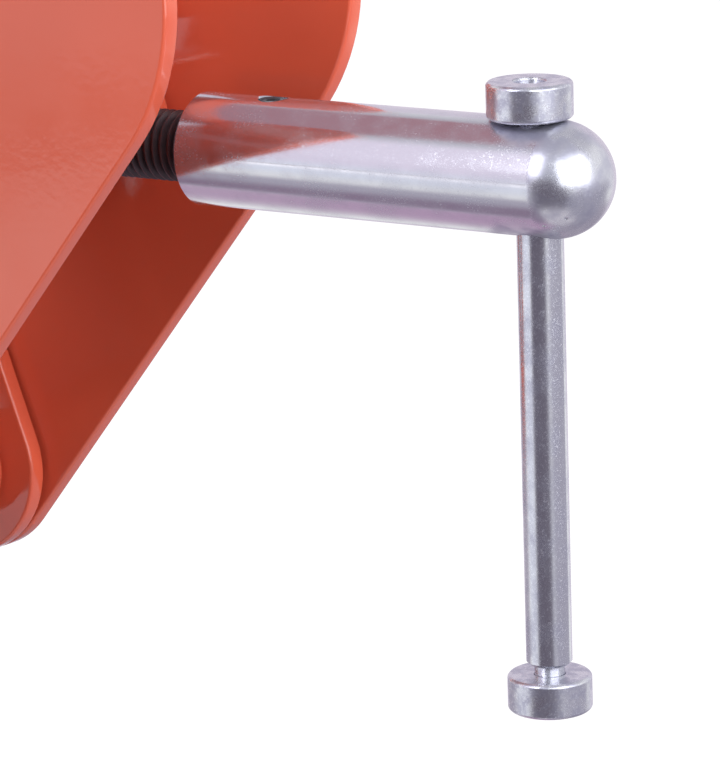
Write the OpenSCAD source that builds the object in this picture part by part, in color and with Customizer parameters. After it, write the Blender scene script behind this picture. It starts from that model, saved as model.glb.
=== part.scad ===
// Adjustable beam clamp for hanging a hoist under a steel beam.
// Two pairs of plate jaws swing on a load bar at the foot. A spindle with a left-hand and a
// right-hand thread draws their cross nuts together or apart, so that the hooks at the top
// close on the beam's flange. X runs along the spindle towards its handle, Y along the load
// bar, and Z up. The origin is the middle of the load bar. Lengths are in millimetres.

/* [Jaw plates] */
// Thickness of each jaw plate
plate_t = 6; // [5:0.5:8]
// Clear space between the two inner plates
inner_space = 66.5; // [55:0.5:80]
// Gap between an inner plate and the outer plate beside it
plate_gap = 1.2; // [0.8:0.1:1.4]
// Radius of the plates' round foot
foot_r = 26; // [24:1:29]
// Radius of the plates' round shoulder
shoulder_r = 57.5; // [54:0.5:60]
// Sideways distance from the load bar to the shoulder's centre
shoulder_x = 72.3; // [68:0.1:76]
// Height of the shoulder's centre above the load bar
shoulder_z = 145.6; // [142:0.1:150]
// Lean of the plates' inner edge away from upright, in degrees
inner_lean = 22; // [20:0.5:24]

/* [Flange mouth] */
// Height of the lip that the flange rests over, above the load bar
mouth_z = 148; // [146:1:152]
// Height of the mouth between the lip and the hook
mouth_h = 22; // [18:1:26]
// Sideways distance from the load bar to the back of the mouth
throat_x = 80; // [76:1:84]
// Depth of the mouth from the hook's nose to its back
mouth_depth = 35; // [30:1:40]
// Radius in the two back corners of the mouth
throat_round = 6; // [4:0.5:8]
// Radius on the lip's corner
lip_round = 8; // [4:0.5:10]
// Radius under the hook's nose
nose_round = 7; // [4:0.5:8]
// Radius where the hook's front meets the shoulder
crown_round = 16; // [10:1:20]
// Lean of the hook's front face away from upright, in degrees
nose_lean = 15; // [5:1:20]

/* [Hook blocks and lip bars] */
// Width of the block that joins two hooks
hook_block_w = 20; // [16:1:22]
// Height of that block
hook_block_h = 18; // [15:1:20]
// Bevel on the block's two upper edges
hook_block_bevel = 4; // [1:0.5:5]
// Diameter of the bar under the lip
lip_bar_d = 16; // [12:1:18]
// How far the lip bar's top lies below the lip
lip_bar_drop = 0.5; // [0.2:0.1:2]
// Sideways distance from the load bar to the lip bar
lip_bar_x = 62; // [60:1:68]
// Diameter of the tenons that go through the plates
tenon_d = 10; // [8:0.5:11]
// How far the tenons stand proud of the plates
tenon_proud = 1; // [0.5:0.1:1.5]

/* [Load bar] */
// Diameter of the load bar at its two shoulders
load_bar_d = 32; // [30:1:36]
// Diameter at its waist, where the hoist's hook sits
waist_d = 25; // [23:1:28]
// Length of the waist
waist_len = 44; // [30:1:50]
// Diameter of its two journals
load_journal_d = 22; // [20:0.5:24]
// Thickness of its end washers
washer_t = 2.5; // [1.5:0.5:4]
// Diameter of its end washers
washer_d = 38; // [34:1:44]

/* [Cross nuts] */
// Sideways distance from the load bar to a cross nut
nut_x = 55; // [53:1:58]
// Height of the cross nuts and the spindle above the load bar
nut_z = 105; // [102:1:108]
// Diameter of a cross nut
nut_d = 32; // [29:1:34]
// Diameter of a cross nut's journals
nut_journal_d = 20; // [16:0.5:22]

/* [Spindle] */
// Outside diameter of the threads
thread_d = 19; // [18:0.5:20]
// Pitch of the threads
thread_pitch = 2.5; // [2:0.25:3]
// Depth of the threads
thread_depth = 1.4; // [1:0.1:1.6]
// Distance from the middle to where each thread starts
thread_start = 9; // [8.5:0.5:12]
// Distance from the middle to the plain stub at the far end
stub_start = 104; // [102:1:110]
// Diameter of the stub
stub_d = 16; // [14:0.5:16]
// Outside diameter of the stop collar and the end collar
collar_d = 29; // [26:1:32]
// Length of the stop collar in the middle
stop_collar_len = 10; // [8:0.5:10]
// Length of the end collar
end_collar_len = 9; // [8:0.5:12]
// Diameter of the pin through the end collar
end_pin_d = 5; // [4:0.5:6]

/* [Handle] */
// Diameter of the handle sleeve
sleeve_d = 30; // [28:1:34]
// Distance from the middle of the clamp to the sleeve's open end
sleeve_start = 109; // [108:1:125]
// Length of the sleeve up to the centre of its domed end
sleeve_len = 107; // [85:1:130]
// How far the spindle goes into the sleeve
socket_depth = 45; // [40:1:50]
// Distance from the sleeve's open end to its pin
sleeve_pin_x = 23; // [15:1:30]
// Diameter of that pin
sleeve_pin_d = 8; // [5:0.5:9]
// Diameter of the tommy bar
tommy_d = 12; // [10:0.5:14]
// Distance from the domed end's centre back to the tommy bar
tommy_back = 5; // [3:0.5:12]
// Length of the tommy bar between its two necks
tommy_len = 142; // [110:0.5:170]
// Diameter of the necks
neck_d = 8; // [6:0.5:8]
// Length of the lower neck before its cap
neck_len = 2.8; // [2:0.1:5]
// Length of the upper neck before its cap
upper_neck_len = 0.8; // [0.5:0.1:5]
// Diameter of the two caps
cap_d = 22; // [19:0.5:26]
// Height of the two caps
cap_h = 9.5; // [7:0.5:12]
// How far the upper neck is bent off the bar's line, away from the domed end
neck_bend = 2.2; // [0:0.1:2.2]
// Turn of the handle about the spindle from plumb, in degrees
handle_turn = 3.5; // [0:0.1:10]

/* [Fits] */
// Radial clearance of a journal or a thread in its hole
run_fit = 0.075; // [0.02:0.005:0.1]
// Radial clearance of a pin, tenon or neck that stays put
seat_fit = 0.05; // [0.02:0.01:0.1]
// Clearance beside a part that turns against another
side_fit = 0.15; // [0.1:0.05:0.3]
// Radial clearance of the tommy bar in its hole
slide_fit = 0.3; // [0.3:0.05:0.6]

/* [Hidden] */
$fn = 96;

orange = [0.85, 0.36, 0.24];
zinc = [0.74, 0.74, 0.78];
black = [0.10, 0.10, 0.11];
spring_steel = [0.22, 0.21, 0.20];

edge_bevel = 1;        // bevel on turned ends
washer_bevel = 0.5;    // bevel on the edges of washers
fine_bevel = 0.1;      // bevel on the edges of thin washers
ring_t = 1.5;          // thickness of every retaining ring
ring_w = 2.6;          // radial width of every retaining ring
ring_groove = 1;       // depth of a retaining ring's groove
ring_gap = 38;         // opening of a retaining ring, in degrees
ring_lug_r = 2.3;      // radius of a retaining ring's lugs
ring_eye_r = 0.9;      // radius of the eyes in the lugs
tail = 2.2;            // length of shaft past its retaining ring
far = 500;             // longer than anything here
cut = 1;               // how far a cutting shape runs past a face

inner_y = inner_space / 2;                      // inner face of the inner plates
outer_y = inner_y + plate_t + plate_gap;        // inner face of the outer plates
outside_y = outer_y + plate_t;                  // outer face of the outer plates
shoulder = [shoulder_x, shoulder_z];
lip_bar_z = mouth_z - lip_bar_drop - lip_bar_d / 2;
hook_z = mouth_z + mouth_h;                     // seat of the hooks
hook_block_x = throat_x - throat_round - hook_block_w / 2;
dome_x = sleeve_start + sleeve_len;             // centre of the domed end
tommy_x = dome_x - tommy_back;
socket_end = sleeve_start + socket_depth;
socket_d = thread_d + 2 * seat_fit;
cap_seat = sleeve_d / 2 + slide_fit / 6;        // underside of the upper cap above the spindle
tommy_top = cap_seat - upper_neck_len;          // upper end of the bar's full diameter
tommy_bottom = tommy_top - tommy_len;
cap_bevel = 0.7;
dimple_r = 4.6;
dimple_depth = 1.2;

// ---- plane geometry of the jaw outline, in the X-Z plane ----

function polar(r, a) = [r * cos(a), r * sin(a)];
function unit(v) = v / norm(v);

// A corner at p between the ways to a and b, rounded by r: [start, end, centre] of the round.
function round_corner(p, a, b, r) =
    let (u = unit(a - p), v = unit(b - p), half = acos(u * v) / 2)
    [p + u * r / tan(half), p + v * r / tan(half), p + unit(u + v) * r / sin(half)];

outer_normal = atan2(shoulder_z, shoulder_x)
    - acos((foot_r - shoulder_r) / norm(shoulder));
foot_outer = polar(foot_r, outer_normal);
shoulder_outer = shoulder + polar(shoulder_r, outer_normal);

inner_way = polar(1, 90 - inner_lean);
foot_inner = polar(foot_r, 180 - inner_lean);
lip_corner = foot_inner + inner_way * (mouth_z - foot_inner[1]) / inner_way[1];
lip = round_corner(lip_corner, foot_inner, lip_corner + [far, 0], lip_round);

nose_way = polar(1, 90 - nose_lean);
nose_corner = [throat_x - mouth_depth, hook_z];
nose = round_corner(nose_corner, nose_corner + [far, 0], nose_corner + nose_way, nose_round);

// Round between the hook's front, a line, and the shoulder, a circle that holds it.
crown_line = nose_corner + polar(crown_round, -nose_lean);
crown_back = nose_way * (crown_line - shoulder);
crown_reach = sqrt(crown_back ^ 2 - (crown_line - shoulder) * (crown_line - shoulder)
    + (shoulder_r - crown_round) ^ 2) - crown_back;
crown_centre = crown_line + nose_way * crown_reach;
crown_front = nose_corner + nose_way * crown_reach;
crown_angle = atan2(crown_centre[1] - shoulder_z, crown_centre[0] - shoulder_x);
crown_top = shoulder + polar(shoulder_r, crown_angle);
shoulder_middle = (outer_normal + crown_angle) / 2;   // halfway along the shoulder's arc

module disc(p, r) { translate(p) circle(r = r); }

module shoulder_disc() {
    intersection() {
        disc(shoulder, shoulder_r);
        polygon([shoulder, shoulder + polar(2 * shoulder_r, outer_normal),
            shoulder + polar(3 * shoulder_r, shoulder_middle),
            shoulder + polar(2 * shoulder_r, crown_angle)]);
    }
}

mouth_back = throat_x - throat_round;
mouth_floor = [mouth_back, mouth_z + throat_round];   // centres of the two back corners
mouth_roof = [mouth_back, hook_z - throat_round];

module mouth_way() {
    polygon([[-far, mouth_z], [mouth_back, mouth_z], [throat_x, mouth_z + throat_round],
        [throat_x, hook_z - throat_round], [mouth_back, hook_z], [-far, hook_z]]);
}

// ---- helpers ----

// A drawing in the X-Z plane, made solid from y to y + t.
module slab(y, t) { translate([0, y + t, 0]) rotate([90, 0, 0]) linear_extrude(t) children(); }

// Each child drawing as a slab of its own.
module slabs(y, t) { for (i = [0:$children - 1]) slab(y, t) children(i); }

// Children built along Z, laid along Y and centred at x, z.
module along_y(x, z) { translate([x, 0, z]) rotate([-90, 0, 0]) children(); }

// Children built along Z, laid along X on the spindle's axis, starting at x.
module along_x(x) { translate([x, 0, nut_z]) rotate([handle_turn, 0, 0]) rotate([0, 90, 0]) children(); }

// A turned rod from z0 to z1 with bevelled ends.
module rod(d, z0, z1, bevel = edge_bevel) {
    r = d / 2;
    rotate_extrude() polygon([[0, z0], [r - bevel, z0], [r, z0 + bevel], [r, z1 - bevel],
        [r - bevel, z1], [0, z1]]);
}

// A ring from z0 to z1 with bevelled outer edges.
module ring(d, bore, z0, z1, bevel = washer_bevel) {
    r = d / 2;
    rotate_extrude() polygon([[bore / 2, z0], [r - bevel, z0], [r, z0 + bevel],
        [r, z1 - bevel], [r - bevel, z1], [bore / 2, z1]]);
}

module groove(shaft_d, z) {
    translate([0, 0, z]) difference() {
        cylinder(r = shaft_d / 2 + cut, h = ring_t + side_fit);
        translate([0, 0, -cut]) cylinder(r = shaft_d / 2 - ring_groove, h = ring_t + side_fit + 2 * cut);
    }
}

// An open retaining ring with two lugs, lying in its groove from z up.
module retaining_ring(shaft_d, z) {
    inside = shaft_d / 2 - ring_groove + seat_fit;
    lug_at = shaft_d / 2 + seat_fit + ring_lug_r;
    translate([0, 0, z + side_fit / 2]) linear_extrude(ring_t) difference() {
        union() {
            difference() {
                circle(r = inside + ring_w);
                polygon([[0, 0], polar(3 * inside, 90 - ring_gap / 2), polar(3 * inside, 90 + ring_gap / 2)]);
            }
            for (side = [-1, 1]) disc(polar(lug_at, 90 + side * ring_gap / 2), ring_lug_r);
        }
        circle(r = inside);
        for (side = [-1, 1]) disc(polar(lug_at, 90 + side * ring_gap / 2), ring_eye_r);
    }
}

module both_ends() {
    children();
    mirror([0, 1, 0]) children();
}

// ---- load bar ----

load_end = outside_y + side_fit + washer_t + side_fit;   // seat of the bar's retaining rings
load_shoulder = inner_y - side_fit;

module load_bar_shape() {
    sag = (load_bar_d - waist_d) / 2;
    arc_r = (waist_len ^ 2 / 4 + sag ^ 2) / (2 * sag);
    difference() {
        union() {
            rod(load_bar_d, -load_shoulder, load_shoulder);
            rod(load_journal_d, -load_end - ring_t - tail, load_end + ring_t + tail);
        }
        rotate_extrude() disc([waist_d / 2 + arc_r, 0], arc_r, $fn = 192);
        groove(load_journal_d, load_end);
        mirror([0, 0, 1]) groove(load_journal_d, load_end);
    }
}

module load_bar() { color(orange) along_y(0, 0) load_bar_shape(); }

module load_bar_washers() {
    color(zinc) both_ends() along_y(0, 0)
        ring(washer_d, load_journal_d + 2 * run_fit, outside_y + side_fit, outside_y + side_fit + washer_t);
}

module load_bar_rings() {
    color(spring_steel) both_ends() along_y(0, 0) retaining_ring(load_journal_d, load_end);
}

// Thin washers that fill the gap between the inner and the outer plates.
module pivot_washers() {
    color(zinc) both_ends() along_y(0, 0)
        ring(washer_d, load_journal_d + 2 * run_fit, outer_y - plate_gap + seat_fit, outer_y - seat_fit,
            fine_bevel);
}

// ---- jaws ----

module jaw_plate(y) {
    color(orange) difference() {
        slabs(y, plate_t) {
            polygon([foot_inner, lip[0], lip[1], nose[0], nose[1], crown_front, crown_top,
                shoulder + polar(shoulder_r / 2, shoulder_middle), shoulder_outer, foot_outer]);
            disc([0, 0], foot_r);
            disc(lip[2], lip_round);
            disc(nose[2], nose_round);
            disc(crown_centre, crown_round);
            shoulder_disc();
        }
        slabs(y - cut, plate_t + 2 * cut) {
            mouth_way();
            disc(mouth_floor, throat_round);
            disc(mouth_roof, throat_round);
            disc([0, 0], load_journal_d / 2 + run_fit);
            disc([nut_x, nut_z], nut_journal_d / 2 + run_fit);
            disc([lip_bar_x, lip_bar_z], tenon_d / 2 + seat_fit);
            disc([hook_block_x, hook_z + hook_block_h / 2], tenon_d / 2 + seat_fit);
        }
    }
}

// Tenons that stand proud of the plates, on a cross piece that reaches out to face.
module tenons(face) {
    rod(tenon_d, -face - plate_t - tenon_proud, face + plate_t + tenon_proud, edge_bevel / 2);
}

module hook_block(face) {
    x0 = hook_block_x - hook_block_w / 2;
    x1 = hook_block_x + hook_block_w / 2;
    top = hook_z + hook_block_h;
    color(orange) {
        slab(-face, 2 * face) polygon([[x0, hook_z], [x1, hook_z], [x1, top - hook_block_bevel],
            [x1 - hook_block_bevel, top], [x0 + hook_block_bevel, top], [x0, top - hook_block_bevel]]);
        along_y(hook_block_x, hook_z + hook_block_h / 2) tenons(face);
    }
}

module lip_bar(face) {
    color(orange) along_y(lip_bar_x, lip_bar_z) {
        translate([0, 0, -face]) cylinder(d = lip_bar_d, h = 2 * face);
        tenons(face);
    }
}

module right_front_plate() { jaw_plate(-outside_y); }
module right_rear_plate() { jaw_plate(outer_y); }
module right_hook_block() { hook_block(outer_y); }
module right_lip_bar() { lip_bar(outer_y); }
module left_front_plate() { mirror([1, 0, 0]) jaw_plate(-inner_y - plate_t); }
module left_rear_plate() { mirror([1, 0, 0]) jaw_plate(inner_y); }
module left_hook_block() { mirror([1, 0, 0]) hook_block(inner_y); }
module left_lip_bar() { mirror([1, 0, 0]) lip_bar(inner_y); }

// ---- cross nuts ----

nut_play = 0.5;   // end play of a cross nut between its plates

module nut(face) {
    outside = face + plate_t + side_fit;
    bore_d = thread_d + 2 * run_fit;
    color(orange) difference() {
        along_y(nut_x, nut_z) {
            difference() {
                union() {
                    rod(nut_d, nut_play - face, face - nut_play);
                    rod(nut_journal_d, -outside - ring_t - tail, outside + ring_t + tail);
                }
                groove(nut_journal_d, outside);
                mirror([0, 0, 1]) groove(nut_journal_d, outside);
            }
        }
        translate([nut_x - nut_d, 0, nut_z]) rotate([0, 90, 0]) cylinder(d = bore_d, h = 2 * nut_d);
    }
}

module nut_rings(face) {
    color(spring_steel) both_ends() along_y(nut_x, nut_z)
        retaining_ring(nut_journal_d, face + plate_t + side_fit);
}

module right_nut() { nut(outer_y); }
module right_nut_rings() { nut_rings(outer_y); }
module left_nut() { mirror([1, 0, 0]) nut(inner_y); }
module left_nut_rings() { mirror([1, 0, 0]) nut_rings(inner_y); }

// ---- spindle ----

stop_half = stop_collar_len / 2;

// One ridge of a thread: [share of the depth, share of the pitch] at its feet and its crest.
ridge = [[1, 0.05], [1, 0.3], [0, 0.6], [0, 0.8]];

// Profile of one thread from x0 outwards, as ridges one pitch apart.
function thread_profile(x0, x1) =
    [for (i = [0:floor((x1 - x0) / thread_pitch) - 1], p = ridge)
        [thread_d / 2 - thread_depth * p[0], x0 + thread_pitch * (i + p[1])]];

module thread(x0, x1) {
    rotate_extrude() polygon(concat([[0, x0]], thread_profile(x0, x1), [[0, x1]]));
}

module spindle() {
    run_out = thread_start + thread_pitch / 2;
    color(black) along_x(0) difference() {
        union() {
            rod(thread_d, -run_out, run_out, thread_depth);
            thread(thread_start, sleeve_start + thread_pitch);
            rod(thread_d, sleeve_start, socket_end);
            mirror([0, 0, 1]) {
                thread(thread_start, stub_start);
                rod(stub_d, 0, stub_start + end_collar_len + tail);
            }
        }
        groove(thread_d, stop_half);
        mirror([0, 0, 1]) groove(thread_d, stop_half);
        translate([0, 0, sleeve_start + sleeve_pin_x]) rotate([0, 90, 0])
            cylinder(d = sleeve_pin_d + 2 * seat_fit, h = 2 * thread_d, center = true);
        translate([0, 0, -stub_start - end_collar_len / 2]) rotate([0, 90, 0])
            cylinder(d = end_pin_d + 2 * seat_fit, h = 2 * thread_d, center = true);
    }
}

module stop_collar() {
    color(zinc) along_x(0)
        ring(collar_d, thread_d + 2 * run_fit, side_fit / 2 - stop_half, stop_half - side_fit / 2,
            edge_bevel);
}

module collar_rings() {
    color(spring_steel) along_x(0) {
        retaining_ring(thread_d, stop_half);
        mirror([0, 0, 1]) retaining_ring(thread_d, stop_half);
    }
}

module end_collar() {
    color(zinc) along_x(-stub_start - end_collar_len) difference() {
        ring(collar_d, stub_d + 2 * seat_fit, 0, end_collar_len, edge_bevel);
        translate([0, 0, end_collar_len / 2]) rotate([0, 90, 0])
            cylinder(d = end_pin_d + 2 * seat_fit, h = 2 * collar_d, center = true);
    }
}

module end_pin() {
    color(spring_steel) along_x(-stub_start - end_collar_len / 2) rotate([0, 90, 0])
        rod(end_pin_d, -collar_d / 2, collar_d / 2, edge_bevel / 2);
}

// ---- handle ----

tommy_bevel = 0.8;    // bevel at the two ends of the tommy bar's full diameter
pin_sink = 2;         // how far the sleeve pin's ends lie below the sleeve's surface
sleeve_bevel = 1.2;   // bevel round the sleeve's open end
hole_bevel = 0.4;     // countersink of the sleeve's pin hole

// Two small dents low on the domed end: turn about the spindle, and rise towards the dome's tip.
dents = [[-54, 33.6], [-49.5, 10]];
dent_r = 0.8;

module handle_sleeve() {
    r = sleeve_d / 2;
    hole_r = sleeve_pin_d / 2 + seat_fit;
    color(zinc) along_x(sleeve_start) difference() {
        union() {
            rotate_extrude() polygon([[0, 0], [r - sleeve_bevel, 0], [r, sleeve_bevel],
                [r, sleeve_len], [0, sleeve_len]]);
            translate([0, 0, sleeve_len]) sphere(r = r);
        }
        translate([0, 0, -cut]) cylinder(d = socket_d, h = socket_depth + cut + side_fit);
        translate([0, 0, sleeve_pin_x]) rotate([0, 90, 0]) {
            cylinder(r = hole_r, h = 2 * sleeve_d, center = true);
            for (side = [0, 1]) mirror([0, 0, side]) translate([0, 0, r - hole_bevel])
                cylinder(r1 = hole_r, r2 = hole_r + 2 * hole_bevel, h = 2 * hole_bevel);
        }
        translate([0, 0, sleeve_len - tommy_back]) rotate([0, 90, 0])
            cylinder(d = tommy_d + 2 * slide_fit, h = 2 * sleeve_d, center = true);
        for (d = dents) translate([0, 0, sleeve_len]) rotate([0, 0, d[0]]) rotate([0, 90 - d[1], 0])
            translate([0, 0, r + 0.75 * dent_r]) sphere(r = dent_r, $fn = 32);
    }
}

module sleeve_pin() {
    color(spring_steel) along_x(sleeve_start + sleeve_pin_x) rotate([0, 90, 0]) difference() {
        rod(sleeve_pin_d, pin_sink - sleeve_d / 2, sleeve_d / 2 - pin_sink, edge_bevel / 2);
        cylinder(d = sleeve_pin_d / 2, h = 2 * sleeve_d, center = true);
    }
}

// Children built along Z, on the tommy bar's axis, with z measured from the spindle's axis.
module on_tommy_bar() {
    translate([0, 0, nut_z]) rotate([handle_turn, 0, 0]) translate([tommy_x, 0, 0]) children();
}

module tommy_bar() {
    in_cap = cap_h - dimple_depth;
    color(zinc) on_tommy_bar() {
        rod(tommy_d, tommy_bottom, tommy_top, tommy_bevel);
        translate([-neck_bend, 0, tommy_top - cut])
            cylinder(d = neck_d, h = cut + upper_neck_len + in_cap);
        translate([0, 0, tommy_bottom - neck_len - in_cap])
            cylinder(d = neck_d, h = in_cap + neck_len + cut);
    }
}

// A cap from z = 0 up, with a dimple in its top round the peened end of the neck.
module cap() {
    dimple_ball = (dimple_r ^ 2 + dimple_depth ^ 2) / (2 * dimple_depth);
    color(zinc) difference() {
        rod(cap_d, 0, cap_h, cap_bevel);
        translate([0, 0, -cut]) cylinder(d = neck_d + 2 * seat_fit, h = cap_h + 2 * cut);
        translate([0, 0, cap_h - dimple_depth + dimple_ball]) sphere(r = dimple_ball);
    }
}

module upper_cap() { on_tommy_bar() translate([-neck_bend, 0, cap_seat]) cap(); }

module lower_cap() {
    on_tommy_bar() translate([0, 0, tommy_bottom - neck_len]) rotate([180, 0, 0]) cap();
}

load_bar();
load_bar_washers();
load_bar_rings();
pivot_washers();
right_front_plate();
right_rear_plate();
right_hook_block();
right_lip_bar();
left_front_plate();
left_rear_plate();
left_hook_block();
left_lip_bar();
right_nut();
right_nut_rings();
left_nut();
left_nut_rings();
stop_collar();
collar_rings();
spindle();
end_collar();
end_pin();
handle_sleeve();
sleeve_pin();
tommy_bar();
upper_cap();
lower_cap();
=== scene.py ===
import math

import bmesh
import bpy
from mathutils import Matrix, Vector


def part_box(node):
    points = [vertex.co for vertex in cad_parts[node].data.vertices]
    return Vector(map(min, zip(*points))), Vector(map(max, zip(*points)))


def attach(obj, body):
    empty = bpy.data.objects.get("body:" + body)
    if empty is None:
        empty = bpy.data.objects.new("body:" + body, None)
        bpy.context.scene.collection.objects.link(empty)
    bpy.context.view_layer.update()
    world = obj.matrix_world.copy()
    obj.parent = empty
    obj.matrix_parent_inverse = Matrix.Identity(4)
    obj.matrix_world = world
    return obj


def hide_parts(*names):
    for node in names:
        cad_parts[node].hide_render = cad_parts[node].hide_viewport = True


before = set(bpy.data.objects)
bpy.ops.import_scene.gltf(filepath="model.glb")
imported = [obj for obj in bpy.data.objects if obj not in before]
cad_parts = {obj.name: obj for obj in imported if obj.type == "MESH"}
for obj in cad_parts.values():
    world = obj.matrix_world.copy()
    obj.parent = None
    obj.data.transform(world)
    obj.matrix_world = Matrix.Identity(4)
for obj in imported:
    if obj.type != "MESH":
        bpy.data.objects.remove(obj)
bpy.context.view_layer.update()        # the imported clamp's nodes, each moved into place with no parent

bl_info = {
    "name": "Beam Clamp",
    "version": (1, 0, 0),
    "blender": (4, 5, 0),
    "location": "3D View > Sidebar > Beam Clamp",
    "description": "Finishes an adjustable beam clamp and sets it in a plain studio",
    "category": "Object",
}

# X runs along the spindle towards the handle, Y along the load bar, Z up. Lengths are in metres.
MM = 0.001

PLATES = ["right_front_plate", "right_rear_plate", "left_front_plate", "left_rear_plate"]
CROSS_PIECES = ["right_hook_block", "right_lip_bar", "left_hook_block", "left_lip_bar"]
NUTS = ["right_nut", "left_nut"]
RINGS = ["load_bar_rings", "right_nut_rings", "left_nut_rings", "collar_rings"]
WASHERS = ["load_bar_washers", "pivot_washers"]
COLLARS = ["stop_collar", "end_collar"]
PINS = ["end_pin", "sleeve_pin"]
CAPS = ["upper_cap", "lower_cap"]

SPINDLE_Z = sum(corner.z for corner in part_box("stop_collar")) / 2
SLEEVE_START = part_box("handle_sleeve")[0].x
DOME_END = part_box("handle_sleeve")[1].x
SLEEVE_R = (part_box("handle_sleeve")[1].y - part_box("handle_sleeve")[0].y) / 2
BAR_X = sum(corner.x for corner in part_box("tommy_bar")) / 2

# Finishes that several pieces share, and the colours that no setting changes
ENAMEL = "orange_baked_enamel"
DUST_ON_ENAMEL = (0.75, 0.68, 0.64, 1)
DUST_ON_ZINC = (0.60, 0.58, 0.58, 1)
ZINC_SPARKLE = (0.92, 0.94, 1.0, 1)
RUBBED_ZINC = (0.80, 0.78, 0.80, 1)
RUBBED_OXIDE = (0.22, 0.21, 0.23, 1)
PHOSPHATE = (0.10, 0.095, 0.09, 1)
RUBBED_PHOSPHATE = (0.45, 0.44, 0.42, 1)


# ---- settings ----

class EnamelSettings(bpy.types.PropertyGroup):
    """Baked enamel on the jaws, nuts and load bar"""

    colour: bpy.props.FloatVectorProperty(
        name="Colour", description="Colour of the enamel", subtype="COLOR",
        size=4, min=0, max=1, default=(0.700, 0.116, 0.058, 1))
    thin_colour: bpy.props.FloatVectorProperty(
        name="Thin Colour", description="Colour where the enamel runs thin over an edge",
        subtype="COLOR", size=4, min=0, max=1, default=(0.800, 0.170, 0.080, 1))
    roughness: bpy.props.FloatProperty(
        name="Roughness", description="Roughness of the glossy skin", default=0.075, min=0, max=1)
    peel_size: bpy.props.FloatProperty(
        name="Peel Size", description="Width of one ripple of the enamel's orange peel",
        default=1.7 * MM, min=0.5 * MM, unit="LENGTH", precision=4)
    peel_height: bpy.props.FloatProperty(
        name="Peel Height", description="Height of the ripples",
        default=0.014 * MM, min=0, unit="LENGTH", precision=6)
    edge_radius: bpy.props.FloatProperty(
        name="Edge Radius", description="Rounding that the enamel gives to sheared edges",
        default=1.0 * MM, min=0, unit="LENGTH", precision=5)


class ZincSettings(bpy.types.PropertyGroup):
    """Bright zinc plate on the handle, washers and collars"""

    colour: bpy.props.FloatVectorProperty(
        name="Colour", description="Colour of the plating", subtype="COLOR",
        size=4, min=0, max=1, default=(0.690, 0.695, 0.745, 1))
    stain_colour: bpy.props.FloatVectorProperty(
        name="Stain Colour", description="Colour of the cloudy patches", subtype="COLOR",
        size=4, min=0, max=1, default=(0.480, 0.480, 0.570, 1))
    roughness: bpy.props.FloatProperty(
        name="Roughness", description="Roughness of the brightest plating",
        default=0.10, min=0, max=1)
    grain_size: bpy.props.FloatProperty(
        name="Grain Size", description="Width of the fine pits in the plating",
        default=0.45 * MM, min=0.05 * MM, unit="LENGTH", precision=5)
    grain_height: bpy.props.FloatProperty(
        name="Grain Height", description="Depth of the fine pits",
        default=0.010 * MM, min=0, unit="LENGTH", precision=6)


class SpindleSettings(bpy.types.PropertyGroup):
    """Threads of the spindle"""

    pitch: bpy.props.FloatProperty(
        name="Pitch", description="Distance from one thread to the next",
        default=2.5 * MM, min=1 * MM, unit="LENGTH", precision=4)
    depth: bpy.props.FloatProperty(
        name="Depth", description="Depth of the threads",
        default=1.4 * MM, min=0.2 * MM, unit="LENGTH", precision=4)
    diameter: bpy.props.FloatProperty(
        name="Diameter", description="Diameter over the threads' crests",
        default=19 * MM, min=5 * MM, unit="LENGTH", precision=4)
    thread_start: bpy.props.FloatProperty(
        name="Thread Start", description="Distance from the middle to the start of each thread",
        default=9 * MM, min=0, unit="LENGTH", precision=4)
    stub_diameter: bpy.props.FloatProperty(
        name="Stub Diameter", description="Diameter of the plain stub at the far end",
        default=16 * MM, min=5 * MM, unit="LENGTH", precision=4)
    end_bevel: bpy.props.FloatProperty(
        name="End Bevel", description="Bevel on the two ends of the spindle",
        default=1 * MM, min=0, unit="LENGTH", precision=4)
    crest_bevel: bpy.props.FloatProperty(
        name="Crest Bevel", description="Bevel on the plain middle where the threads start",
        default=0.3 * MM, min=0, unit="LENGTH", precision=5)
    collar_gap: bpy.props.FloatProperty(
        name="Collar Gap", description="Gap between the stop collar and the groove beside it",
        default=0.075 * MM, min=0, unit="LENGTH", precision=6)
    groove_width: bpy.props.FloatProperty(
        name="Groove Width", description="Width of the grooves for the stop collar's rings",
        default=1.65 * MM, min=0.1 * MM, unit="LENGTH", precision=5)
    groove_depth: bpy.props.FloatProperty(
        name="Groove Depth", description="Depth of those grooves",
        default=1 * MM, min=0.1 * MM, unit="LENGTH", precision=4)
    colour: bpy.props.FloatVectorProperty(
        name="Colour", description="Colour of the black oxide", subtype="COLOR",
        size=4, min=0, max=1, default=(0.075, 0.052, 0.058, 1))


class StudioSettings(bpy.types.PropertyGroup):
    """Floor, room, lamps and camera"""

    floor_drop: bpy.props.FloatProperty(
        name="Floor Drop", description="Height of the load bar above the floor",
        default=0.20, min=0.02, unit="LENGTH")
    floor_colour: bpy.props.FloatVectorProperty(
        name="Floor Colour", description="Colour of the floor", subtype="COLOR",
        size=4, min=0, max=1, default=(0.18, 0.18, 0.18, 1))
    floor_glow: bpy.props.FloatProperty(
        name="Floor Glow", description="Glow that makes the floor as white as the backdrop to the camera",
        default=0.93, min=0)
    camera_place: bpy.props.FloatVectorProperty(
        name="Camera Place", description="Where the camera stands", subtype="TRANSLATION",
        unit="LENGTH", default=(0.70146, -0.86546, 0.25038))
    camera_look: bpy.props.FloatVectorProperty(
        name="Camera Look", description="Way that the camera looks", subtype="DIRECTION",
        default=(-0.5213, 0.8302, -0.1974))
    lens: bpy.props.FloatProperty(
        name="Lens", description="Focal length of the camera", subtype="DISTANCE_CAMERA",
        default=183.9, min=1)


# ---- shader helpers ----

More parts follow.
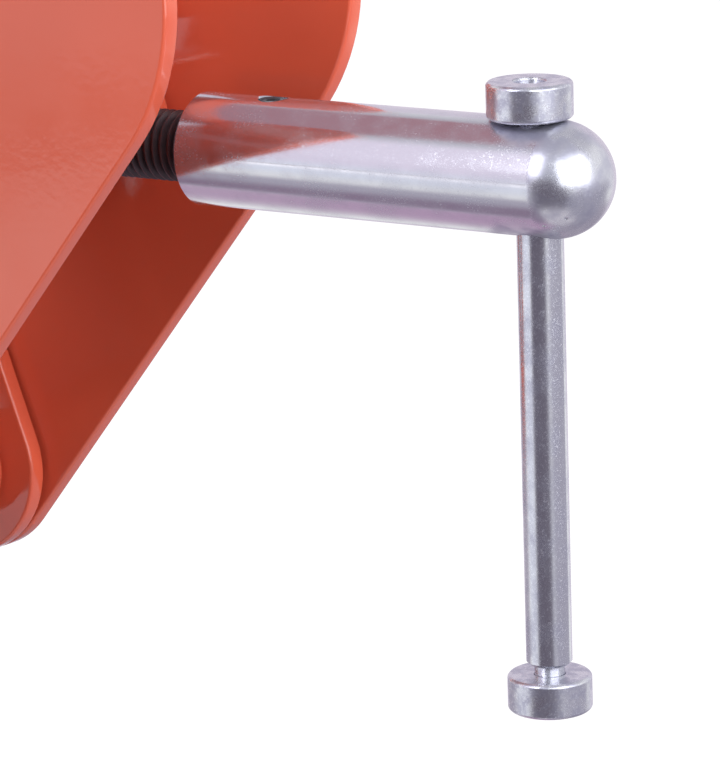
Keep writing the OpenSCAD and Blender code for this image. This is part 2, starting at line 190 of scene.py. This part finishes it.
class Nodes:
    """A node tree being wired. Apart from add and feed, each call adds a node and returns its output."""

    def __init__(self, tree):
        self.tree = tree

    def add(self, kind, inputs=None, **settings):
        node = self.tree.nodes.new(kind)
        for key, value in settings.items():
            setattr(node, key, value)
        for key, value in (inputs or {}).items():
            self.feed(node.inputs[key], value)
        return node

    def feed(self, socket, value):
        if isinstance(value, bpy.types.NodeSocket):
            self.tree.links.new(value, socket)
        else:
            socket.default_value = value

    def math(self, operation, a, b=0.0, clamp=False):
        return self.add("ShaderNodeMath", {0: a, 1: b}, operation=operation, use_clamp=clamp).outputs[0]

    def vector(self, operation, a, b=(0, 0, 0)):
        node = self.add("ShaderNodeVectorMath", {0: a, 1: b}, operation=operation)
        return node.outputs["Value" if operation in ("DOT_PRODUCT", "DISTANCE") else "Vector"]

    def noise(self, vector, scale, detail=2.0, roughness=0.5):
        return self.add("ShaderNodeTexNoise", {
            "Vector": vector, "Scale": scale, "Detail": detail, "Roughness": roughness,
        }).outputs["Fac"]

    def ramp(self, value, from_min, from_max, to_min=0.0, to_max=1.0):
        return self.add("ShaderNodeMapRange", {
            "Value": value, "From Min": from_min, "From Max": from_max,
            "To Min": to_min, "To Max": to_max,
        }, interpolation_type="SMOOTHSTEP").outputs["Result"]

    def grey(self, value):
        return self.add("ShaderNodeCombineColor", {0: value, 1: value, 2: value}).outputs[0]

    def mix(self, factor, a, b, blend="MIX"):
        node = self.add("ShaderNodeMix", data_type="RGBA", blend_type=blend)
        self.feed(node.inputs["Factor"], factor)
        self.feed(node.inputs["A"], a)
        self.feed(node.inputs["B"], b)
        return node.outputs["Result"]

    def bump(self, height, distance, normal=None):
        inputs = {"Height": height, "Distance": distance, "Strength": 1.0}
        if normal is not None:
            inputs["Normal"] = normal
        return self.add("ShaderNodeBump", inputs).outputs["Normal"]


def new_group(name, inputs, outputs):
    """A shader node group with named sockets: its tree, its wiring, its input node and its output node."""
    tree = bpy.data.node_groups.new(name, "ShaderNodeTree")
    for socket_name, kind, default in inputs:
        socket = tree.interface.new_socket(name=socket_name, in_out="INPUT", socket_type=kind)
        if default is not None:
            socket.default_value = default
    for socket_name, kind in outputs:
        tree.interface.new_socket(name=socket_name, in_out="OUTPUT", socket_type=kind)
    nodes = Nodes(tree)
    return tree, nodes, nodes.add("NodeGroupInput"), nodes.add("NodeGroupOutput")


def orange_peel_group():
    """Ripples of a sprayed and baked skin: a broad swell with finer ripples on it."""
    tree, n, inside, outside = new_group("Orange Peel", [
        ("Vector", "NodeSocketVector", None), ("Size", "NodeSocketFloat", 0.003),
    ], [("Height", "NodeSocketFloat")])
    scale = n.math("DIVIDE", 1.0, inside.outputs["Size"])
    swell = n.noise(inside.outputs["Vector"], n.math("MULTIPLY", scale, 0.30), 1.0)
    ripple = n.noise(inside.outputs["Vector"], scale, 2.0, 0.45)
    height = n.math("ADD", n.math("MULTIPLY", swell, 0.6), ripple)
    n.feed(outside.inputs["Height"], height)
    return tree


def edge_wear_group():
    """Mask of the sharp edges, broken up by noise."""
    tree, n, inside, outside = new_group("Edge Wear", [
        ("Vector", "NodeSocketVector", None), ("Radius", "NodeSocketFloat", 0.001),
        ("Break Size", "NodeSocketFloat", 0.004), ("Amount", "NodeSocketFloat", 1.0),
    ], [("Mask", "NodeSocketFloat")])
    rounded = n.add("ShaderNodeBevel", {"Radius": inside.outputs["Radius"]}, samples=6).outputs["Normal"]
    true_normal = n.add("ShaderNodeNewGeometry").outputs["Normal"]
    turned = n.math("SUBTRACT", 1.0, n.vector("DOT_PRODUCT", rounded, true_normal))
    edge = n.ramp(turned, 0.01, 0.22)
    scale = n.math("DIVIDE", 1.0, inside.outputs["Break Size"])
    breaks = n.noise(inside.outputs["Vector"], scale, 3.0, 0.6)
    broken = n.math("MULTIPLY", edge, n.ramp(breaks, 0.35, 0.65, 0.35, 1.0))
    n.feed(outside.inputs["Mask"], n.math("MULTIPLY", broken, inside.outputs["Amount"], clamp=True))
    return tree


def plating_group():
    """Cloudy patches and fine pits of plated steel."""
    tree, n, inside, outside = new_group("Plating", [
        ("Vector", "NodeSocketVector", None), ("Grain Size", "NodeSocketFloat", 0.0005),
        ("Patch Size", "NodeSocketFloat", 0.010),
    ], [("Cloud", "NodeSocketFloat"), ("Speckle", "NodeSocketFloat"), ("Height", "NodeSocketFloat")])
    vector = inside.outputs["Vector"]
    grain_scale = n.math("DIVIDE", 1.0, inside.outputs["Grain Size"])
    patch_scale = n.math("DIVIDE", 1.0, inside.outputs["Patch Size"])
    cloud = n.ramp(n.noise(vector, patch_scale, 3.0, 0.55), 0.35, 0.68)
    grain = n.noise(vector, grain_scale, 3.0, 0.6)
    speckle = n.ramp(grain, 0.52, 0.70)
    pit_scale = n.math("MULTIPLY", grain_scale, 0.8)
    pits = n.add("ShaderNodeTexVoronoi", {"Vector": vector, "Scale": pit_scale})
    pit = n.ramp(pits.outputs["Distance"], 0.0, 0.35)
    height = n.math("ADD", n.math("MULTIPLY", grain, 0.7), n.math("MULTIPLY", pit, 0.3))
    n.feed(outside.inputs["Cloud"], cloud)
    n.feed(outside.inputs["Speckle"], speckle)
    n.feed(outside.inputs["Height"], height)
    return tree


def dust_group():
    """Mask of the thin dust that settles on what faces up."""
    tree, n, inside, outside = new_group("Settled Dust", [
        ("Vector", "NodeSocketVector", None), ("Amount", "NodeSocketFloat", 0.1),
    ], [("Mask", "NodeSocketFloat")])
    normal = n.add("ShaderNodeNewGeometry").outputs["Normal"]
    up = n.ramp(n.vector("DOT_PRODUCT", normal, (0, 0, 1)), 0.2, 0.95)
    grains = n.ramp(n.noise(inside.outputs["Vector"], 900.0, 4.0, 0.7), 0.42, 0.72)
    settled = n.math("MULTIPLY", up, grains)
    n.feed(outside.inputs["Mask"], n.math("MULTIPLY", settled, inside.outputs["Amount"]))
    return tree


GROUPS = {}        # the shared shader groups by name, built for the first material that asks for one


def place_group(n, name, inputs):
    """One of the shared groups inside a material, with its own values."""
    if not GROUPS:
        for tree in (orange_peel_group(), edge_wear_group(), plating_group(), dust_group()):
            GROUPS[tree.name] = tree
    node = n.add("ShaderNodeGroup", node_tree=GROUPS[name])
    for key, value in inputs.items():
        n.feed(node.inputs[key], value)
    return node.outputs


def new_material(name):
    """An empty material with its wiring, its shader and the place on the object."""
    material = bpy.data.materials.new(name)
    material.use_nodes = True
    material.node_tree.nodes.clear()
    n = Nodes(material.node_tree)
    shader = n.add("ShaderNodeBsdfPrincipled")
    output = n.add("ShaderNodeOutputMaterial")
    n.feed(output.inputs["Surface"], shader.outputs["BSDF"])
    place = n.add("ShaderNodeTexCoord").outputs["Object"]
    return material, n, shader, place


def enamel_material(settings):
    """Orange baked enamel with a rippled, glossy skin."""
    material, n, shader, place = new_material(ENAMEL)
    wear = place_group(n, "Edge Wear", {
        "Vector": place, "Radius": 0.9 * MM, "Break Size": 6 * MM, "Amount": 0.55,
    })["Mask"]
    dust = place_group(n, "Settled Dust", {"Vector": place, "Amount": 0.05})["Mask"]
    peel = place_group(n, "Orange Peel", {"Vector": place, "Size": settings.peel_size})["Height"]
    shade = n.ramp(n.noise(place, 14.0, 3.0), 0.3, 0.7, 0.965, 1.03)
    body = n.mix(1.0, settings.colour, n.grey(shade), "MULTIPLY")
    thin = n.mix(wear, body, settings.thin_colour)
    n.feed(shader.inputs["Base Color"], n.mix(dust, thin, DUST_ON_ENAMEL))
    smears = n.ramp(n.noise(place, 45.0, 4.0, 0.6), 0.4, 0.75, 0.0, 0.05)
    n.feed(shader.inputs["Roughness"], n.math("ADD", n.math("ADD", smears, settings.roughness), dust))
    n.feed(shader.inputs["Normal"], n.bump(peel, settings.peel_height))
    shader.inputs["IOR"].default_value = 1.62
    return material


def shared_enamel(context):
    """The one enamel on all painted pieces, made by the first of them."""
    return bpy.data.materials.get(ENAMEL) or enamel_material(context.scene.clamp_enamel)


def sleeve_frost_and_shade(n, place):
    """How frosted the handle sleeve is: 1 on its dome, 1.7 close to the tommy bar's hole, 0 elsewhere.
    Close to the hole, under the upper cap, the deeper stain that it brings is partly painted shade.
    """
    along = n.add("ShaderNodeSeparateXYZ", {0: place}).outputs["X"]
    dome = DOME_END - SLEEVE_R
    on_dome = n.ramp(along, dome - 0.5 * MM, dome + 0.5 * MM)
    from_bar = n.vector("DISTANCE", n.vector("MULTIPLY", place, (1, 1, 0)), (BAR_X, 0, 0))
    # round the tommy bar's hole, under the upper cap: frost that dulls the plating and, through the deeper
    # stain, painted shade
    hole_frost_and_shade = n.ramp(from_bar, 14 * MM, 10 * MM, 0.0, 1.7)
    return n.math("MAXIMUM", on_dome, hole_frost_and_shade)


def zinc_material(settings, name, patch_size, frost, sparkle, stretch=(1, 1, 1), haze=0.0, domed=False):
    """Bright zinc plate. frost dulls it and deepens its stain, all over or, if domed, where the sleeve's
    frost mask says; round the tommy bar's hole that deeper stain is partly painted shade. sparkle lights up
    its grains, haze dulls the grains in its cloudy patches, and stretch scales the pattern on each axis."""
    material, n, shader, place = new_material(name)
    stretched = n.vector("MULTIPLY", place, stretch)
    plating = place_group(n, "Plating", {
        "Vector": stretched, "Grain Size": settings.grain_size, "Patch Size": patch_size,
    })
    cloud, speckle = plating["Cloud"], plating["Speckle"]
    wear = place_group(n, "Edge Wear", {
        "Vector": place, "Radius": 0.5 * MM, "Break Size": 3 * MM, "Amount": 0.6,
    })["Mask"]
    dust = place_group(n, "Settled Dust", {"Vector": place, "Amount": 0.05})["Mask"]
    frosted = n.math("MULTIPLY", sleeve_frost_and_shade(n, place), frost) if domed else frost
    hazed = n.math("MULTIPLY", n.math("MULTIPLY", speckle, cloud), haze)
    # the stain colour deepens with the frost; round the tommy bar's hole, under the upper cap, that darker
    # tint is painted shade as well as stain
    stain_and_shade = n.math("MULTIPLY", cloud, n.math("ADD", 0.25, frosted), clamp=True)
    colour = n.mix(stain_and_shade, settings.colour, settings.stain_colour)
    speckled = n.mix(n.math("MULTIPLY", speckle, sparkle), colour, ZINC_SPARKLE)
    worn = n.mix(n.math("MULTIPLY", wear, 0.5), speckled, RUBBED_ZINC)
    n.feed(shader.inputs["Base Color"], n.mix(dust, worn, DUST_ON_ZINC))
    rough = n.math("ADD", settings.roughness, n.math("MULTIPLY", frosted, 0.16))
    cloudy = n.math("ADD", rough, n.math("MULTIPLY", cloud, 0.07))
    pitted = n.math("ADD", cloudy, n.math("MULTIPLY", speckle, 0.06))
    n.feed(shader.inputs["Roughness"], n.math("ADD", pitted, hazed))
    metal = n.ramp(cloud, 0.0, 1.0, 0.94, 0.86)
    n.feed(shader.inputs["Metallic"], n.math("SUBTRACT", metal, hazed))
    depth = n.math("ADD", 0.3, n.math("MULTIPLY", frosted, 1.5))
    height = n.math("MULTIPLY", plating["Height"], depth)
    n.feed(shader.inputs["Normal"], n.bump(height, settings.grain_height))
    return material


def dark_steel_material(name, colour, rubbed, roughness, wear_amount):
    """Black oxide or phosphate on steel, rubbed brighter along its edges."""
    material, n, shader, place = new_material(name)
    plating = place_group(n, "Plating", {
        "Vector": place, "Grain Size": 0.4 * MM, "Patch Size": 5 * MM,
    })
    wear = place_group(n, "Edge Wear", {
        "Vector": place, "Radius": 0.35 * MM, "Break Size": 1.5 * MM, "Amount": wear_amount,
    })["Mask"]
    paler = tuple(1.7 * channel for channel in colour[:3]) + (1,)
    patchy = n.mix(n.math("MULTIPLY", plating["Cloud"], 0.4), colour, paler)
    n.feed(shader.inputs["Base Color"], n.mix(wear, patchy, rubbed))
    n.feed(shader.inputs["Metallic"], n.ramp(wear, 0.0, 1.0, 0.55, 1.0))
    grain = n.math("MULTIPLY", plating["Speckle"], 0.12)
    n.feed(shader.inputs["Roughness"], n.math("ADD", roughness, grain))
    n.feed(shader.inputs["Normal"], n.bump(plating["Height"], 0.012 * MM))
    return material


# ---- shape helpers ----

SEAM = 0.05 * MM            # packed vertices this near to each other are one corner
SHARP_EDGE = 35             # edges that turn by more degrees than this are rounded
THREAD_END = 0.02 * MM      # a thread's corners this near to its two ends stay at the root
SAME_POINT = 0.004 * MM     # built vertices this near to each other are merged
SLIVER = 0.001 * MM         # edges shorter than this are closed up


def finish_node(name, material):
    """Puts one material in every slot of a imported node."""
    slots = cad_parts[name].data.materials
    for i in range(len(slots)):
        slots[i] = material


def soften(name, width, clamp=True):
    """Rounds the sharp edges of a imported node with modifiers, leaving its mesh as it is. clamp keeps the
    rounding within the faces beside each edge."""
    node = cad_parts[name]
    weld = node.modifiers.new("Weld", "WELD")
    weld.merge_threshold = SEAM
    bevel = node.modifiers.new("Soft Edges", "BEVEL")
    bevel.width = width
    bevel.segments = 3
    bevel.limit_method = "ANGLE"
    bevel.angle_limit = math.radians(SHARP_EDGE)
    bevel.loop_slide = False
    bevel.use_clamp_overlap = clamp
    even = node.modifiers.new("Even Normals", "WEIGHTED_NORMAL")
    even.keep_sharp = False
    even.weight = 80


def add_ring(bm, x, radius, sides):
    """A ring of vertices round the spindle's axis."""
    ring = []
    for i in range(sides):
        turn = 2 * math.pi * i / sides
        ring.append(bm.verts.new((x, radius * math.cos(turn), SPINDLE_Z + radius * math.sin(turn))))
    return ring


def bridge(bm, a, b):
    """Faces between two rings with as many vertices."""
    for i in range(len(a)):
        j = (i + 1) % len(a)
        bm.faces.new((a[i], a[j], b[j], b[i]))


def add_thread(bm, start, end, settings, hand, sides):
    """A helical thread from start to end along X, as one lattice whose rows rise one pitch a turn. Past its
    ends the rows close up into plain circles at the root. hand is 1 or -1."""
    crest = settings.diameter / 2
    root = crest - settings.depth
    # the share of the pitch and the radius at each corner of one turn's profile
    corners = [(0.0, root), (0.25, root), (0.5625, crest), (0.6875, crest)]
    turns = math.ceil((end - start) / settings.pitch) + 2
    rows = []
    for k in range(-len(corners), turns * len(corners)):
        turn, corner = divmod(k, len(corners))
        share, radius = corners[corner]
        row = []
        for i in range(sides):
            along = (turn + share + i / sides) * settings.pitch
            x = start + along
            inside = start + THREAD_END < x < end - THREAD_END
            angle = hand * 2 * math.pi * i / sides
            r = radius if inside else root
            x = min(max(x, start), end)
            row.append(bm.verts.new((x, r * math.cos(angle), SPINDLE_Z + r * math.sin(angle))))
        rows.append(row)
    step = len(corners)
    for k in range(len(rows) - 1):
        for i in range(sides):
            if i < sides - 1:
                face = (rows[k][i], rows[k][i + 1], rows[k + 1][i + 1], rows[k + 1][i])
            elif k + step + 1 < len(rows):
                face = (rows[k][i], rows[k + step][0], rows[k + step + 1][0], rows[k + 1][i])
            else:
                continue
            bm.faces.new(face)


def revolve(bm, profile, sides):
    """Faces of a turned surface through (x, radius) points. A radius of 0 closes it there."""
    last = None
    for x, radius in profile:
        if radius == 0:
            ring = [bm.verts.new((x, 0, SPINDLE_Z))]
        else:
            ring = add_ring(bm, x, radius, sides)
        if last is not None:
            if len(last) == 1 or len(ring) == 1:
                tip, rim = (last[0], ring) if len(last) == 1 else (ring[0], last)
                for i in range(sides):
                    bm.faces.new((tip, rim[i], rim[(i + 1) % sides]))
            else:
                bridge(bm, last, ring)
        last = ring


def new_mesh_object(name, bm, material, smooth_angle):
    """A scene object from bm, smooth up to the given angle."""
    bmesh.ops.remove_doubles(bm, verts=bm.verts, dist=SAME_POINT)
    bmesh.ops.dissolve_degenerate(bm, edges=bm.edges, dist=SLIVER)
    bmesh.ops.recalc_face_normals(bm, faces=bm.faces)
    mesh = bpy.data.meshes.new(name)
    bm.to_mesh(mesh)
    bm.free()
    for polygon in mesh.polygons:
        polygon.use_smooth = True
    mesh.set_sharp_from_angle(angle=math.radians(smooth_angle))
    mesh.materials.append(material)
    piece = bpy.data.objects.new(name, mesh)
    bpy.context.scene.collection.objects.link(piece)
    return piece


# ---- pieces ----

class CLAMP_OT_jaws(bpy.types.Operator):
    """Enamels the four jaw plates, the hook blocks and the lip bars"""

    bl_idname = "clamp.jaws"
    bl_label = "Jaws"

    def execute(self, context):
        radius = context.scene.clamp_enamel.edge_radius
        for name in PLATES + CROSS_PIECES:
            finish_node(name, shared_enamel(context))
            # a plate's short edges would clamp its rounding away, while the cross pieces need the clamp
            soften(name, radius, clamp=name not in PLATES)
        return {"FINISHED"}


class CLAMP_OT_load_bar(bpy.types.Operator):
    """Enamels the load bar and plates its washers"""

    bl_idname = "clamp.load_bar"
    bl_label = "Load Bar"

    def execute(self, context):
        finish_node("load_bar", shared_enamel(context))
        zinc = zinc_material(
            context.scene.clamp_zinc, "washer_zinc", patch_size=6 * MM, frost=0.5, sparkle=0.4)
        for name in WASHERS:
            finish_node(name, zinc)
        return {"FINISHED"}


class CLAMP_OT_nuts(bpy.types.Operator):
    """Enamels the two cross nuts"""

    bl_idname = "clamp.nuts"
    bl_label = "Cross Nuts"

    def execute(self, context):
        for name in NUTS:
            finish_node(name, shared_enamel(context))
        return {"FINISHED"}


class CLAMP_OT_rings(bpy.types.Operator):
    """Gives the retaining rings and the pins their phosphate"""

    bl_idname = "clamp.rings"
    bl_label = "Retaining Rings and Pins"

    def execute(self, context):
        phosphate = dark_steel_material(
            "phosphate_spring_steel", PHOSPHATE, RUBBED_PHOSPHATE, roughness=0.38, wear_amount=0.6)
        for name in RINGS + PINS:
            finish_node(name, phosphate)
        return {"FINISHED"}


class CLAMP_OT_collars(bpy.types.Operator):
    """Plates the stop collar and the end collar"""

    bl_idname = "clamp.collars"
    bl_label = "Collars"

    def execute(self, context):
        zinc = zinc_material(
            context.scene.clamp_zinc, "collar_zinc", patch_size=6 * MM, frost=0.4, sparkle=0.4)
        for name in COLLARS:
            finish_node(name, zinc)
        return {"FINISHED"}


class CLAMP_OT_spindle(bpy.types.Operator):
    """Builds the spindle with its left-hand and right-hand helical threads"""

    bl_idname = "clamp.spindle"
    bl_label = "Spindle"

    sides = 48
    smooth_angle = 40

    def execute(self, context):
        settings = context.scene.clamp_spindle
        far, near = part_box("spindle")[0].x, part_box("spindle")[1].x
        crest = settings.diameter / 2
        root = crest - settings.depth
        stub_r = settings.stub_diameter / 2
        stub_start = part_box("end_collar")[1].x
        thread_end = SLEEVE_START + settings.pitch
        start = settings.thread_start
        bevel = settings.end_bevel
        small_bevel = settings.crest_bevel
        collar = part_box("stop_collar")[1].x + settings.collar_gap
        groove = collar + settings.groove_width
        groove_r = crest - settings.groove_depth
        bm = bmesh.new()
        revolve(bm, [(far, 0), (far, stub_r - bevel), (far + bevel, stub_r), (stub_start, stub_r),
                     (stub_start, root)], self.sides)
        add_thread(bm, stub_start, -start, settings, -1, self.sides)
        middle = [(start, root), (start, crest - small_bevel), (start - small_bevel, crest),
                  (groove, crest), (groove, groove_r), (collar, groove_r), (collar, crest)]
        revolve(bm, [(-x, r) for x, r in middle] + middle[::-1], self.sides)
        add_thread(bm, start, thread_end, settings, 1, self.sides)
        revolve(bm, [(thread_end, root), (thread_end, crest), (near - bevel, crest),
                     (near, crest - bevel), (near, 0)], self.sides)
        oxide = dark_steel_material(
            "black_oxide_thread", tuple(settings.colour), RUBBED_OXIDE, roughness=0.34, wear_amount=0.18)
        spindle = new_mesh_object("spindle_with_threads", bm, oxide, self.smooth_angle)
        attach(spindle, "spindle")
        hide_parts("spindle")
        return {"FINISHED"}


class CLAMP_OT_handle_sleeve(bpy.types.Operator):
    """Plates the handle sleeve, bright along its length and frosted on its dome"""

    bl_idname = "clamp.handle_sleeve"
    bl_label = "Handle Sleeve"

    def execute(self, context):
        zinc = zinc_material(
            context.scene.clamp_zinc, "sleeve_zinc", patch_size=9 * MM, frost=0.9, sparkle=0.12,
            stretch=(0.8, 1, 1), haze=0.1, domed=True)
        finish_node("handle_sleeve", zinc)
        soften("handle_sleeve", 0.3 * MM)
        return {"FINISHED"}


class CLAMP_OT_tommy_bar(bpy.types.Operator):
    """Plates the sliding tommy bar and its two caps"""

    bl_idname = "clamp.tommy_bar"
    bl_label = "Tommy Bar"

    def execute(self, context):
        settings = context.scene.clamp_zinc
        bar_zinc = zinc_material(
            settings, "tommy_bar_zinc", patch_size=5 * MM, frost=0.6, sparkle=0.7, stretch=(1, 1, 0.7))
        cap_zinc = zinc_material(settings, "cap_zinc", patch_size=3 * MM, frost=1.0, sparkle=0.6)
        finish_node("tommy_bar", bar_zinc)
        for name in CAPS:
            finish_node(name, cap_zinc)
            soften(name, 0.35 * MM)
        return {"FINISHED"}


# ---- studio ----

AIM = Vector((0.12, 0.0, 0.09))
FLOOR_HALF = 8.0        # half the width of the square floor

# The lamps. Each has its azimuth and elevation in degrees, its distance, width and height in metres, its
# radiance, its colour, and whether it shows in polished metal.
SOFTBOXES = [
    ("right_softbox", 68, 21, 0.75, 0.82, 0.68, 2.2, (0.94, 0.97, 1.0), True),
    ("left_softbox", -13.2, 31, 1.3, 0.41, 0.85, 6.1, (0.97, 0.98, 1.0), True),
    ("side_fill", 100, -16, 1.0, 0.7, 0.6, 7.5, (1.0, 0.98, 0.95), False),
]


def around(azimuth, elevation, distance):
    """The point that far from AIM, at that azimuth, from -Y towards +X, and elevation, in degrees."""
    a, e = math.radians(azimuth), math.radians(elevation)
    return AIM + distance * Vector((math.sin(a) * math.cos(e), -math.cos(a) * math.cos(e), math.sin(e)))


def looking(way):
    """The rotation that makes a lamp or a camera look that way."""
    return Vector(way).to_track_quat("-Z", "Y").to_euler()


def add_softbox(name, azimuth, elevation, distance, width, height, radiance, colour, in_metal):
    """A rectangular lamp that looks at the clamp and doesn't show to the camera."""
    lamp = bpy.data.lights.new(name, "AREA")
    lamp.shape = "RECTANGLE"
    lamp.size, lamp.size_y = width, height
    lamp.energy = radiance * math.pi * width * height
    lamp.color = colour
    holder = bpy.data.objects.new(name, lamp)
    holder.location = around(azimuth, elevation, distance)
    holder.rotation_euler = looking(AIM - holder.location)
    holder.visible_camera = False
    holder.visible_glossy = in_metal
    bpy.context.scene.collection.objects.link(holder)


def seen_directly(n):
    """1 for rays from the camera and for those let through something clear."""
    rays = n.add("ShaderNodeLightPath").outputs
    return n.math("MAXIMUM", rays["Is Camera Ray"], rays["Is Transmission Ray"])


def add_floor(settings):
    """A wide pale floor that keeps the clamp's soft shadow. Polished metal looks through it at the room."""
    bm = bmesh.new()
    bm.faces.new([bm.verts.new((x * FLOOR_HALF, y * FLOOR_HALF, -settings.floor_drop))
                  for x, y in ((-1, -1), (1, -1), (1, 1), (-1, 1))])
    mesh = bpy.data.meshes.new("studio_floor")
    bm.to_mesh(mesh)
    bm.free()
    material, n, shader, place = new_material("pale_floor")
    shade = n.ramp(n.noise(place, 3.0, 4.0), 0.3, 0.7, 0.985, 1.0)
    n.feed(shader.inputs["Base Color"], n.mix(1.0, settings.floor_colour, n.grey(shade), "MULTIPLY"))
    shader.inputs["Roughness"].default_value = 0.9
    shader.inputs["Specular IOR Level"].default_value = 0.0
    shader.inputs["Emission Strength"].default_value = settings.floor_glow
    n.feed(shader.inputs["Emission Color"], n.mix(seen_directly(n), (0, 0, 0, 1), BACKDROP))
    mesh.materials.append(material)
    floor = bpy.data.objects.new("studio_floor", mesh)
    floor.visible_glossy = False
    bpy.context.scene.collection.objects.link(floor)


# The room round the clamp, laid in this order over its pale walls or, in polished metal, over the white
# backdrop. Each part has the azimuth of its middle (from -Y towards +X), its half width, its lowest and
# highest elevation, how softly it ends across and up, in degrees, and its colour.
BACKDROP = (1, 1, 1, 1)
WALLS = (0.84, 0.80, 0.88, 1)
ROOM = [
    ("ceiling", 0, 180, 50, 90, 10, 22, (0.60, 0.59, 0.64, 1)),
    ("back_wall", -148, 34, -25, 32, 14, 10, (0.80, 0.73, 0.83, 1)),
    # painted reflection: a reddish part that carries the orange reflection of the jaws on along the sleeve,
    # where the modelled hooks end
    ("painted_hook_reflection", -92, 31, 51, 64, 12, 6, (0.45, 0.23, 0.27, 1)),
    ("low_behind", 165, 40, -90, -28, 15, 10, (0.42, 0.38, 0.46, 1)),
    ("low_right", 76, 44, -45, -24, 18, 14, (0.34, 0.33, 0.42, 1)),
    ("low_left", -100, 14, -32, -13, 14, 8, (0.52, 0.48, 0.55, 1)),
    ("floor", -100, 50, -90, -62, 15, 30, (0.56, 0.38, 0.54, 1)),
    ("floor_front", 60, 50, -90, -56, 20, 8, (0.80, 0.76, 0.80, 1)),
    ("right_wall", 110, 30, -60, -9, 18, 7, (0.42, 0.40, 0.48, 1)),
    ("dark_front", 14, 28, -45, 8, 20, 10, (0.12, 0.10, 0.14, 1)),
    ("front_above", 16, 30, 12, 40, 20, 10, (0.50, 0.51, 0.57, 1)),
    ("left_panel", -42, 14, -7.2, 38, 8, 12, (0.98, 0.89, 1.03, 1)),
    ("far_floor", -47, 16, -60, -36, 12, 9, (0.50, 0.47, 0.55, 1)),
    ("lit_floor", -47, 13, -15, -8.2, 12, 14, (0.94, 0.98, 1.08, 1)),
    ("floor_edge", -47, 13, -10.5, -8.4, 12, 3, (1.45, 1.43, 1.48, 1)),
    ("rail", -42, 20, -8.1, -7.2, 12, 0.3, (0.34, 0.31, 0.35, 1)),
    ("dim_floor", -44, 16, -74, -50, 12, 12, (0.30, 0.22, 0.31, 1)),
]


def add_world():
    """The room's light. The camera sees a plain white backdrop in its place, and polished metal sees that
    backdrop between the room's parts."""
    world = bpy.data.worlds.new("studio_light")
    world.use_nodes = True
    world.node_tree.nodes.clear()
    n = Nodes(world.node_tree)
    way = n.add("ShaderNodeTexCoord").outputs["Generated"]
    elevation = n.math("ARCSINE", n.add("ShaderNodeSeparateXYZ", {0: way}).outputs["Z"])
    level = n.vector("NORMALIZE", n.vector("MULTIPLY", way, (1, 1, 0)))
    glossy = n.add("ShaderNodeLightPath").outputs["Is Glossy Ray"]
    colour = n.mix(glossy, WALLS, BACKDROP)
    for _, middle, half, low, high, soft_across, soft_up, part_colour in ROOM:
        mask = n.math(
            "MULTIPLY",
            n.ramp(elevation, math.radians(low - soft_up), math.radians(low)),
            n.ramp(elevation, math.radians(high + soft_up), math.radians(high)))
        if half < 180:
            a = math.radians(middle)
            facing = n.vector("DOT_PRODUCT", level, (math.sin(a), -math.cos(a), 0))
            outer, inner = math.radians(half + soft_across), math.radians(half)
            across = n.ramp(facing, math.cos(outer), math.cos(inner))
            mask = n.math("MULTIPLY", mask, across)
        colour = n.mix(mask, colour, part_colour)
    seen = n.mix(seen_directly(n), colour, BACKDROP)
    background = n.add("ShaderNodeBackground", {"Color": seen})
    output = n.add("ShaderNodeOutputWorld")
    n.feed(output.inputs["Surface"], background.outputs["Background"])
    bpy.context.scene.world = world


def add_camera(settings):
    """The camera stands before the handle, a little above it."""
    camera = bpy.data.cameras.new("camera")
    camera.lens = settings.lens
    camera.clip_start, camera.clip_end = 0.01, 100
    holder = bpy.data.objects.new("camera", camera)
    holder.location = settings.camera_place
    holder.rotation_euler = looking(settings.camera_look)
    bpy.context.scene.collection.objects.link(holder)
    bpy.context.scene.camera = holder


class CLAMP_OT_studio(bpy.types.Operator):
    """Sets up the floor, the room, the lamps and the camera"""

    bl_idname = "clamp.studio"
    bl_label = "Studio"

    def execute(self, context):
        settings = context.scene.clamp_studio
        add_camera(settings)
        add_floor(settings)
        add_world()
        for softbox in SOFTBOXES:
            add_softbox(*softbox)
        context.scene.view_settings.view_transform = "Standard"
        return {"FINISHED"}


class CLAMP_PT_panel(bpy.types.Panel):
    """Lists the clamp's pieces and the studio"""

    bl_idname = "CLAMP_PT_panel"
    bl_label = "Beam Clamp"
    bl_space_type = "VIEW_3D"
    bl_region_type = "UI"
    bl_category = "Beam Clamp"

    def draw(self, context):
        for operator in OPERATORS:
            self.layout.operator(operator.bl_idname)
        for group in SETTINGS:
            self.layout.separator()
            for name in SETTINGS[group].__annotations__:
                self.layout.prop(getattr(context.scene, group), name)


SETTINGS = {
    "clamp_enamel": EnamelSettings, "clamp_zinc": ZincSettings,
    "clamp_spindle": SpindleSettings, "clamp_studio": StudioSettings,
}
OPERATORS = [
    CLAMP_OT_jaws, CLAMP_OT_load_bar, CLAMP_OT_nuts, CLAMP_OT_rings, CLAMP_OT_collars,
    CLAMP_OT_spindle, CLAMP_OT_handle_sleeve, CLAMP_OT_tommy_bar, CLAMP_OT_studio,
]


def register():
    for group, settings in SETTINGS.items():
        bpy.utils.register_class(settings)
        setattr(bpy.types.Scene, group, bpy.props.PointerProperty(type=settings))
    for operator in OPERATORS:
        bpy.utils.register_class(operator)
    bpy.utils.register_class(CLAMP_PT_panel)


def unregister():
    bpy.utils.unregister_class(CLAMP_PT_panel)
    for operator in reversed(OPERATORS):
        bpy.utils.unregister_class(operator)
    for group, settings in SETTINGS.items():
        delattr(bpy.types.Scene, group)
        bpy.utils.unregister_class(settings)


def main():
    register()
    for operator in OPERATORS:
        category, name = operator.bl_idname.split(".")
        getattr(getattr(bpy.ops, category), name)()


if __name__ == "__main__":
    main()
